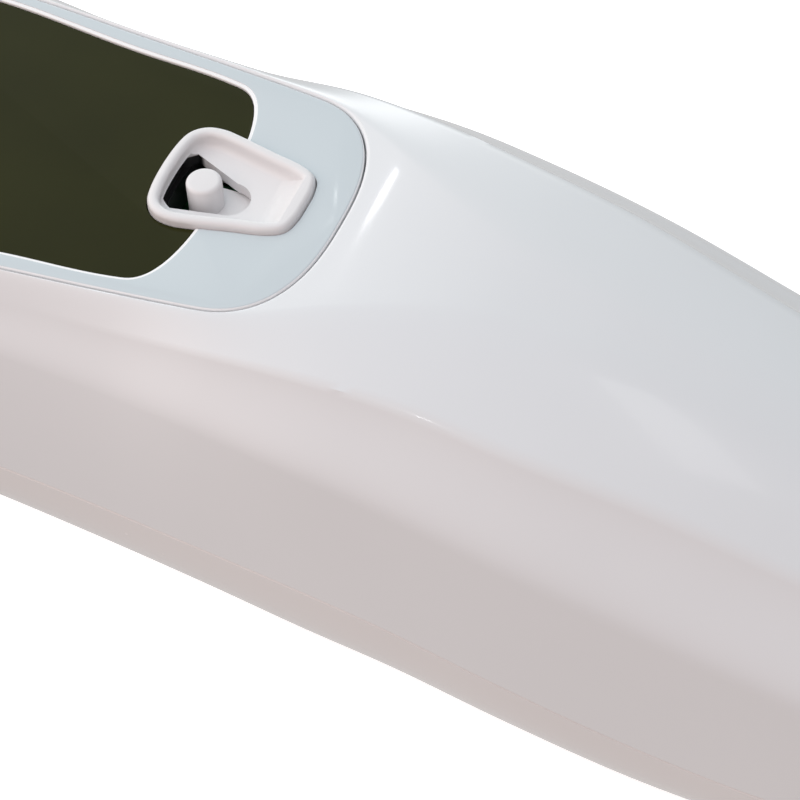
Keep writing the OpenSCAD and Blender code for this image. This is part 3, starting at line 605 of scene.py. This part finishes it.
def lathe(name, profile, place=None, steps=128):
    """A solid of revolution of a closed profile of (radius, height) points round local Z."""
    m = len(profile)
    verts = [(r * math.cos(TAU * i / steps), r * math.sin(TAU * i / steps), z)
             for i in range(steps) for r, z in profile]
    faces = [(i * m + j, ((i + 1) % steps) * m + j, ((i + 1) % steps) * m + (j + 1) % m,
              i * m + (j + 1) % m) for i in range(steps) for j in range(m)
             if profile[j][0] > 0 or profile[(j + 1) % m][0] > 0]
    obj = mesh_of(name, verts, faces)
    weld(obj)
    if place is not None:
        obj.data.transform(place)
    return obj


def weld(obj):
    """Joins the points that coincide and turns every face outwards."""
    bm = bmesh.new()
    bm.from_mesh(obj.data)
    bmesh.ops.remove_doubles(bm, verts=bm.verts, dist=1e-7)
    bmesh.ops.dissolve_degenerate(bm, edges=bm.edges, dist=1e-8)
    bmesh.ops.recalc_face_normals(bm, faces=bm.faces)
    bm.to_mesh(obj.data)
    bm.free()


def filleted(profile, r, steps=5):
    """A closed profile with every corner off the axis rounded to at most the radius r."""
    p, out = [np.array(q, float) for q in profile], []
    for i, b in enumerate(p):
        a, c = p[i - 1], p[(i + 1) % len(p)]
        u, v = a - b, c - b
        lu, lv = np.linalg.norm(u), np.linalg.norm(v)
        cosine = float(np.clip(u @ v / (lu * lv), -1, 1))
        if b[0] < 1e-6 or cosine < -0.995:
            out.append(tuple(b))
            continue
        half = math.acos(cosine) / 2
        cut = min(r / math.tan(half), 0.45 * lu, 0.45 * lv)
        s, e = b + u / lu * cut, b + v / lv * cut
        for t in np.linspace(0, 1, steps + 1):
            out.append(tuple((1 - t)**2 * s + 2 * t * (1 - t) * b + t * t * e))
    return out


def carve(obj, tool, operation="DIFFERENCE"):
    """Cuts the tool out of the object, or joins them, and takes the tool away."""
    m = obj.modifiers.new("carve", "BOOLEAN")
    m.operation = operation
    m.object = tool
    m.solver = "EXACT"
    dg = bpy.context.evaluated_depsgraph_get()
    made = bpy.data.meshes.new_from_object(obj.evaluated_get(dg))
    obj.modifiers.clear()
    obj.data = made
    bpy.data.objects.remove(tool)


def in_bay():
    return (Matrix.Translation((BAY_X * MM, 0, BAY_Z * MM))
            @ Matrix.Rotation(BAY_SLOPE, 4, "Y"))


def in_probe():
    return (Matrix.Translation((PROBE_X * MM, 0, PROBE_Z * MM))
            @ Matrix.Rotation(PROBE_LEAN, 4, "Y"))


MATERIALS = make_materials()


def dress(obj, slot, body, nodes, sharp_deg=32):
    """Gives a finished piece its material, its shading, its body and the nodes it stands for."""
    obj.data.materials.clear()
    obj.data.materials.append(MATERIALS[slot])
    for p in obj.data.polygons:
        p.use_smooth = True
    obj.data.set_sharp_from_angle(angle=math.radians(sharp_deg))
    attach(obj, body)
    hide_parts(*nodes)


# ---- pieces ---------------------------------------------------------------------------


def make_upper_casing():
    obj = casing_sheet("upper_casing", 1)
    low, high = DECK_Z - 2, PLATE_Z + 1
    carve(obj, tower("cut", PLATE, flared(0.12, PLATE_Z, TOP_Z, 0.3)))
    carve(obj, tower("cut", RIM, [(0.15, low), (0.15, high)]))
    for outline in SCAN_HOLE, MEMORY_HOLE:
        carve(obj, tower("cut", outline, [(0, low), (0, high)]))
    dress(obj, "casing_gloss", "casing", ["upper_shell"])


def door_prism(inset):
    """A cutter of the door's outline, made smaller by inset."""
    run = np.array([[0, DOOR_HALF - inset], [DOOR_L - 2 * inset, DOOR_HALF - inset]])
    outline = run_outline(run, 4, 12, 3) + np.array([DOOR_X + inset, 0])
    obj = tower("cut", outline, [(0, -20), (0, -2)])
    obj.data.transform(in_bay())
    return obj


def make_lower_casing():
    obj = casing_sheet("lower_casing", -1)
    for x, y, seat, top in SHELL_SCREWS:
        boss = tower("boss", disc(x, y, BOSS_R, 64), [(0, seat - BOSS_FOOT), (0, top)])
        carve(obj, boss, "UNION")
    for x, y, seat, top in SHELL_SCREWS:
        carve(obj, tower("cut", disc(x, y, HEAD_HOLE_R, 64), [(0, -1), (0, seat)]))
        carve(obj, tower("cut", disc(x, y, SCREW_HOLE_R, 48), [(0, seat - 1), (0, top + 1)]))
    carve(obj, lathe("cut", [(0, -16), (NECK_HOLE_R, -16), (NECK_HOLE_R, 7.5), (0, 7.5)],
                     in_probe()))
    carve(obj, door_prism(0))
    dress(obj, "casing_lower", "casing", ["lower_shell"])


def make_door():
    obj = casing_sheet("door_panel", -1)
    carve(obj, door_prism(DOOR_FIT), "INTERSECT")
    place = in_bay() @ Matrix.Translation((DOOR_SCREW_X * MM, 0, 0))
    low, high = DOOR_SEAT_Z - 0.7, DOOR_SEAT_Z + 1
    carve(obj, lathe("boss", [(0, low), (2.9, low), (2.9, high), (0, high)], place), "UNION")
    carve(obj, lathe("cut", [(0, -12), (2.1, -12), (2.1, DOOR_SEAT_Z), (1, DOOR_SEAT_Z), (1, 0),
                             (0, 0)], place))
    dress(obj, "casing_lower", "battery_door", ["battery_door"])


def make_faceplate():
    obj = tower("face_panel", PLATE, rounded(0, PLATE_Z, TOP_Z, 0.2))
    # The grey face stops short of the window, and leaves a ledge round it that the faceplate's
    # material paints white as a painted highlight
    ledge = TOP_Z - 0.08
    carve(obj, tower("cut", WINDOW, flared(0.05, PLATE_Z - 1, ledge, 0.12)[:-1]
                     + flared(0.34, ledge, TOP_Z, 0.06)))
    carve(obj, tower("cut", RIM, flared(0.1, PLATE_Z - 1, TOP_Z, 0.12)))
    for outline in SCAN_HOLE, MEMORY_HOLE:
        carve(obj, tower("cut", outline, flared(0, PLATE_Z - 1, TOP_Z, 0.2)))
    dress(obj, "faceplate_grey", "casing", ["faceplate"])


def make_window():
    obj = tower("window_lens", WINDOW, rounded(0, PLATE_Z, WINDOW_Z, 0.06))
    carve(obj, tower("cut", RIM, flared(0.1, PLATE_Z - 1, TOP_Z, 0.08)))
    dress(obj, "window_tint", "casing", ["display_window"])


def ramp_curve(steps=6):
    """The switch well's ramp as a smooth curve through its points (x, height)."""
    curve = []
    for i in range(len(RAMP) - 1):
        a, b = RAMP[max(i - 1, 0)], RAMP[i]
        c, d = RAMP[i + 1], RAMP[min(i + 2, len(RAMP) - 1)]
        for t in (s / steps for s in range(steps)):
            curve.append(tuple((2*b[k] + (c[k] - a[k])*t + (2*a[k] - 5*b[k] + 4*c[k] - d[k])*t*t
                                + (3*b[k] - a[k] - 3*c[k] + d[k])*t**3) / 2 for k in (0, 1)))
    return curve + [RAMP[-1]]


def make_well():
    rim_r, dish_r = 0.42, 0.6
    obj = tower("switch_recess", RIM, rounded(0, WELL_UNDER, RIM_TOP, rim_r, 8))
    dish = [(-RIM_W - dish_r + dish_r * math.sin(a), WELL_FLOOR + dish_r - dish_r * math.cos(a))
            for a in np.linspace(0, math.pi / 2, 9)]
    pocket = tower("pocket", RIM, dish + flared(-RIM_W, WELL_FLOOR, RIM_TOP, rim_r, 1, 8)[1:])
    # What stays below the ramp, wider and longer than the pocket
    half_w, far_x, low = 6, 14, 30
    side = ramp_curve() + [(far_x, RAMP_TOP), (far_x, low), (RAMP[0][0], low)]
    n = len(side)
    wedge = mesh_of("wedge", [(x, y, z) for y in (-half_w, half_w) for x, z in side],
                    [tuple(range(n)), tuple(reversed(range(n, 2 * n)))]
                    + [(i, n + i, n + (i + 1) % n, (i + 1) % n) for i in range(n)])
    weld(wedge)
    carve(pocket, wedge)
    carve(obj, pocket)
    carve(obj, tower("hollow", RIM, [(-RIM_W, WELL_UNDER - 1), (-RIM_W, FLOOR_UNDER)]))
    r = POST_R + GAP
    arc = [(POST_X + SLIDE + r * math.sin(a), r * math.cos(a)) for a in np.linspace(0, math.pi, 33)]
    carve(obj, tower("cut", np.array(SLOT_LEFT + arc),
                     [(0, FLOOR_UNDER - 0.2), (0, WELL_FLOOR + 0.3)]))
    dress(obj, "switch_white", "casing", ["switch_well"])


def make_slider():
    foot_z = 35.5
    low = foot_z + 0.2                      # inside the foot
    post = lathe("slider_post", filleted([(0, low), (POST_R, low), (POST_R, POST_TOP),
                                          (0, POST_TOP)], 0.4, 8),
                 Matrix.Translation((POST_X * MM, 0, 0)))
    # The foot, and the leaf that closes the slot under the floor: x from the post, half width, z
    for x0, x1, half, z0, z1 in ((-1.5, 5.7, 2.5, foot_z, foot_z + 0.5),
                                 (0, 4, 1.9, FLOOR_UNDER - 0.5, FLOOR_UNDER - 0.2)):
        corners = [(x0, -half), (x0, half), (x1, half), (x1, -half)]
        plate = tower("plate", np.array(corners) + np.array([POST_X, 0]), [(0, z0), (0, z1)])
        carve(post, plate, "UNION")
    dress(post, "switch_white", "power_slider", ["power_slider"])


def make_scan_button():
    r, rim, low = SCAN_R, 0.7, BUTTON_TOP - 0.4
    profile = [(0, FLANGE_Z), (r + 1, FLANGE_Z), (r + 1, FLANGE_TOP), (r, FLANGE_TOP),
               (r, BUTTON_TOP - 0.5), (r - 0.2, BUTTON_TOP - 0.15), (r - rim, BUTTON_TOP)]
    dish = [(u, low + (BUTTON_TOP - low) * (u / (r - rim)) ** 2)
            for u in np.linspace(r - rim, 0, 14)[1:]]
    scan = lathe("scan_key", profile + dish, Matrix.Translation((SCAN_X * MM, 0, 0)))
    dress(scan, "button_grey", "scan_button", ["scan_button"])


def make_memory_button():
    flange = [(0.6, FLANGE_Z), (0.6, FLANGE_TOP), (0, FLANGE_TOP + 0.01)]
    key = tower("memory_key", pill_outline(MEMORY_X, MEMORY_L, MEMORY_W),
                flange + rounded(0, FLANGE_TOP, BUTTON_TOP, 0.5, 8)[1:])
    dress(key, "switch_white", "memory_button", ["memory_button"])


def make_domes():
    """The rubber domes under the keys, fixed to the casing."""
    for name, x, r, joint in (("scan_dome", SCAN_X, SCAN_DOME_R, "scan_press"),
                              ("memory_dome", MEMORY_X, MEMORY_DOME_R, "memory_press")):
        profile = [(0, FLANGE_Z - 1), (r - 2, FLANGE_Z - 1), (r - 0.8, BOARD_TOP),
                   (r, BOARD_TOP), (r, BOARD_TOP + 0.5), (r - 0.6, BOARD_TOP + 0.5),
                   (r - 1.6, FLANGE_Z), (0, FLANGE_Z)]
        dome = lathe(name + "_rubber", profile, Matrix.Translation((x * MM, 0, 0)))
        dress(dome, "silicone_grey", "casing", [name])
        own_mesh(dome)


def make_probe():
    place = in_probe()
    cone = lathe("nose_collar", filleted(
        [(10.5, 3), (10.5, -4.6), (10.2, -5.3), (9.5, -5.6), (6.8, -5.6), (6.8, -10.4),
         (5.8, -10.4), (5.8, -3.6), (8.8, -3.6), (8.8, 3)], 0.25), place)
    dress(cone, "casing_gloss", "casing", ["nose_cone"])
    barrel = lathe("probe_sleeve", filleted(
        [(4.8, -4.5), (5.8, -4.5), (5.8, -10.4), (6.2, -10.4), (6.2, -13.9), (5.6, -15.6),
         (4.9, -17.6), (4.4, -19.5), (2.9, -19.5), (3.6, -14.2), (4.8, -14.2)], 0.3), place)
    dress(barrel, "probe_white", "casing", ["probe_barrel"])
    arc = [(TIP_R + TIP_ROUND * math.cos(a), TIP_Z - TIP_ROUND * math.sin(a))
           for a in np.linspace(0, math.pi / 2, 9)]
    ring = lathe("tip_collar", [(2.7, -19.5), (4.1, -19.5)] + arc
                 + [(2.1, -20.5), (2.1, -20.2), (2.7, -20.2)], place)
    dress(ring, "steel", "casing", ["probe_tip_ring"])
    glass = lathe("tip_lens", filleted([(0, -20.2), (2.65, -20.2), (2.65, -19.85), (0, -19.85)],
                                       0.08), place)
    dress(glass, "sensor_window", "casing", ["probe_window"])
    eject = lathe("eject_collar", filleted(
        [(6.85, -7.7), (9.8, -7.7), (9.8, -5.7), (6.85, -5.7)], 0.3), place)
    tab = tower("tab", np.array([(7.5, -3), (7.5, 3), (12.9, 3), (13.5, 2.3), (13.5, -2.3),
                                 (12.9, -3)]), rounded(0, -7.7, -6.1, 0.3))
    tab.data.transform(place)
    carve(eject, tab, "UNION")
    carve(eject, lathe("cut", [(0, -9), (6.85, -9), (6.85, -4), (0, -4)], place))
    dress(eject, "ejector_blue_grey", "ejector_ring", ["ejector_ring"])


def screw_piece(name, head_r, head_h, r, length, place):
    """A pan-head screw, its head's seat at local 0 and its point up, with a cross recess."""
    profile = [(0, -head_h), (head_r, -head_h), (head_r, 0), (r, 0), (r, length), (0, length)]
    obj = lathe(name, filleted(profile, 0.25), steps=64)
    arm, half = head_r * 0.6, head_r * 0.14
    for turn in (0, math.pi / 2):
        blade = tower("blade", np.array([(-arm, -half), (-arm, half), (arm, half), (arm, -half)]),
                      [(0, -head_h - 1), (0, -head_h / 2)])
        blade.data.transform(Matrix.Rotation(turn, 4, "Z"))
        carve(obj, blade)
    obj.data.transform(place)
    return obj


def joined(objs, name):
    """One object in the place of several."""
    verts, faces = [], []
    for o in objs:
        base = len(verts)
        verts += [tuple(c / MM for c in v.co) for v in o.data.vertices]
        faces += [tuple(base + i for i in p.vertices) for p in o.data.polygons]
        bpy.data.objects.remove(o)
    return mesh_of(name, verts, faces)


def make_screws():
    screws = [screw_piece("screw", 2.3, 1.5, 1, top + 6 - seat,
                          Matrix.Translation((x * MM, y * MM, seat * MM)))
              for x, y, seat, top in SHELL_SCREWS]
    dress(joined(screws, "casing_screw_set"), "steel", "casing", ["shell_screws"])
    place = in_bay() @ Matrix.Translation((DOOR_SCREW_X * MM, 0, DOOR_SEAT_Z * MM))
    dress(screw_piece("door_fastener", 1.9, 0.9, 0.9, 3.7, place), "steel", "battery_door",
          ["battery_door_screw"])


def dress_cad_nodes():
    """The nodes that nothing replaces keep their shape, take the material of their slot and get
    slightly rounded edges."""
    for part in frame["record"]["subparts"]:
        node = frame["nodes"][part["node"]]
        if node.hide_render:
            continue
        node.data.materials.clear()
        node.data.materials.append(MATERIALS[part["material_slot"]])
        soften = node.modifiers.new("soften", "BEVEL")
        soften.width = 0.06 * MM
        soften.segments = 2
        soften.limit_method = "ANGLE"
        soften.angle_limit = math.radians(50)


def make_floor():
    h = 4000
    floor = mesh_of("floor", [(-h, -h, 0), (h, -h, 0), (h, h, 0), (-h, h, 0)], [(0, 1, 2, 3)])
    m = finish_material("floor_white", (0.93, 0.93, 0.93), 0.004, 0.8, 0.03, 400, 0.01, blotch=3)
    b = m.node_tree.nodes["Principled BSDF"]
    b.inputs["Emission Color"].default_value = (1, 1, 1, 1)
    b.inputs["Emission Strength"].default_value = 0.50
    floor.data.materials.append(m)
    floor.visible_diffuse = False       # the sky's lobe from below stands for its bounce
    floor.visible_glossy = False


make_camera()
make_studio()
make_lamps()
make_upper_casing()
make_lower_casing()
make_door()
make_faceplate()
make_window()
make_well()
make_slider()
make_scan_button()
make_memory_button()
make_domes()
make_probe()
make_screws()
dress_cad_nodes()
make_floor()
